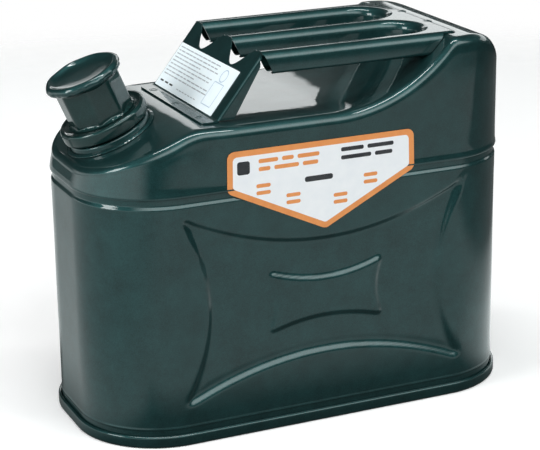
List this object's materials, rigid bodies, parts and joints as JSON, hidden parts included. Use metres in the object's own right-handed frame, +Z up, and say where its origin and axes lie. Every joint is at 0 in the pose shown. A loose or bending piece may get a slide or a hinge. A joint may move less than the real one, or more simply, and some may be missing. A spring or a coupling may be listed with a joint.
{
  "type": "steel fuel can",
  "caption": "Pressed-steel fuel carrying can with a three-bar handle, embossed sides and a tilted filler closed by a screw cap.",
  "frame": {"origin": "the middle of the can's overall length and width, in the plane the can stands on", "axes": "+Z up; +X along the can's length towards the raised rear block, so the filler cap leans to -X; -Y is the labelled front side"},
  "size_m": [0.3453, 0.1644, 0.2765],
  "materials": {
    "green_paint": "gloss dark green enamel over pressed steel",
    "cap_paint": "gloss dark green enamel over pressed steel",
    "zinc_plate": "zinc-plated steel",
    "nitrile_rubber": "matt black rubber",
    "label_vinyl": "semi-gloss vinyl sticker"
  },
  "bodies": {
    "can": {"body_shell": "green_paint", "bottom_pan": "green_paint", "top_shell": "green_paint", "handle_plate": "green_paint", "spot_weld_front_1": "green_paint", "spot_weld_front_2": "green_paint", "spot_weld_front_3": "green_paint", "spot_weld_rear_1": "green_paint", "spot_weld_rear_2": "green_paint", "neck_base": "green_paint", "neck_collar": "green_paint", "neck_weld_bead": "green_paint", "filler_neck": "zinc_plate", "front_label": "label_vinyl", "instruction_label": "label_vinyl"},
    "seal": {"cap_gasket": "nitrile_rubber", "cap_seal_plate": "zinc_plate"},
    "cap": {"cap_body": "cap_paint", "cap_grip": "cap_paint", "cap_skirt_ring": "cap_paint", "cap_top_disc": "cap_paint"}
  },
  "joints": [
    {"name": "cap_rise", "type": "slide", "parent": "can", "child": "seal", "axis": [-0.3907, 0, 0.9205], "range_m": [0, 0.0101]},
    {"name": "cap_turn", "type": "hinge", "parent": "seal", "child": "cap", "pos_m": [-0.1273, 0, 0.21523], "axis": [-0.3907, 0, 0.9205], "range_deg": [0, 900]}
  ],
  "couplings": [
    {"joint": "cap_rise", "follows": "cap_turn", "m_per_rad": 0.00063662}
  ]
}
